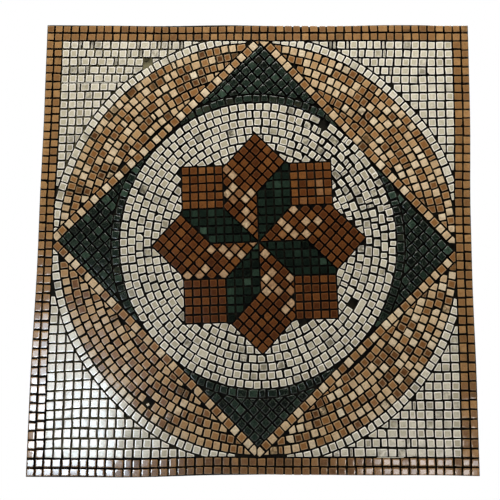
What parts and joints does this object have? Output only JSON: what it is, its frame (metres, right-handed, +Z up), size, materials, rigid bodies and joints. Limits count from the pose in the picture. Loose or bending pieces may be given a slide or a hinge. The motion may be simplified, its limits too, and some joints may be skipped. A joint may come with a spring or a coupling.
{
  "type": "mosaic panel",
  "caption": "Wall mosaic panel of small polished stone tesserae on a thin bed: star medallion in a round cream field, diamond and ring in a plain frame.",
  "frame": {"origin": "middle of the flat back of the bed", "axes": "+Z up the panel, +X to the right seen from the front, +Y out of the back into the wall; the stones face -Y"},
  "size_m": [0.6, 0.01, 0.624],
  "materials": {
    "bed": "dark olive-grey setting resin over a glass-fibre net, matte",
    "brown_stone": "honed brown travertine, soft sheen, arrised edges",
    "tan_stone": "honed tan and brown travertine mixed, soft sheen, arrised edges",
    "cream_stone": "polished cream marble, faint grey clouds, arrised edges",
    "green_stone": "polished dark green serpentine marble, pale flecks",
    "red_brown_stone": "honed red-brown limestone with scattered cream stones, soft sheen"
  },
  "bodies": {
    "root": {"bed": "bed", "frame_top": "brown_stone", "frame_bottom": "brown_stone", "frame_left": "brown_stone", "frame_right": "brown_stone", "corner_field_ne": "cream_stone", "corner_field_nw": "cream_stone", "corner_field_sw": "cream_stone", "corner_field_se": "cream_stone", "ring_arc_ne": "cream_stone", "ring_arc_nw": "cream_stone", "ring_arc_sw": "cream_stone", "ring_arc_se": "cream_stone", "segment_ne": "tan_stone", "segment_nw": "tan_stone", "segment_sw": "tan_stone", "segment_se": "tan_stone", "diamond_edge_ne": "tan_stone", "diamond_edge_nw": "tan_stone", "diamond_edge_sw": "tan_stone", "diamond_edge_se": "tan_stone", "green_triangle_n": "green_stone", "green_triangle_w": "green_stone", "green_triangle_s": "green_stone", "green_triangle_e": "green_stone", "green_arc_n": "green_stone", "green_arc_w": "green_stone", "green_arc_s": "green_stone", "green_arc_e": "green_stone", "cream_field": "cream_stone", "star_square_e": "red_brown_stone", "star_square_ne": "red_brown_stone", "star_square_n": "red_brown_stone", "star_square_nw": "red_brown_stone", "star_square_w": "red_brown_stone", "star_square_sw": "red_brown_stone", "star_square_s": "red_brown_stone", "star_square_se": "red_brown_stone", "brown_rhombus_ene": "red_brown_stone", "green_rhombus_nne": "green_stone", "brown_rhombus_nnw": "red_brown_stone", "green_rhombus_wnw": "green_stone", "brown_rhombus_wsw": "red_brown_stone", "green_rhombus_ssw": "green_stone", "brown_rhombus_sse": "red_brown_stone", "green_rhombus_ese": "green_stone"}
  },
  "joints": []
}
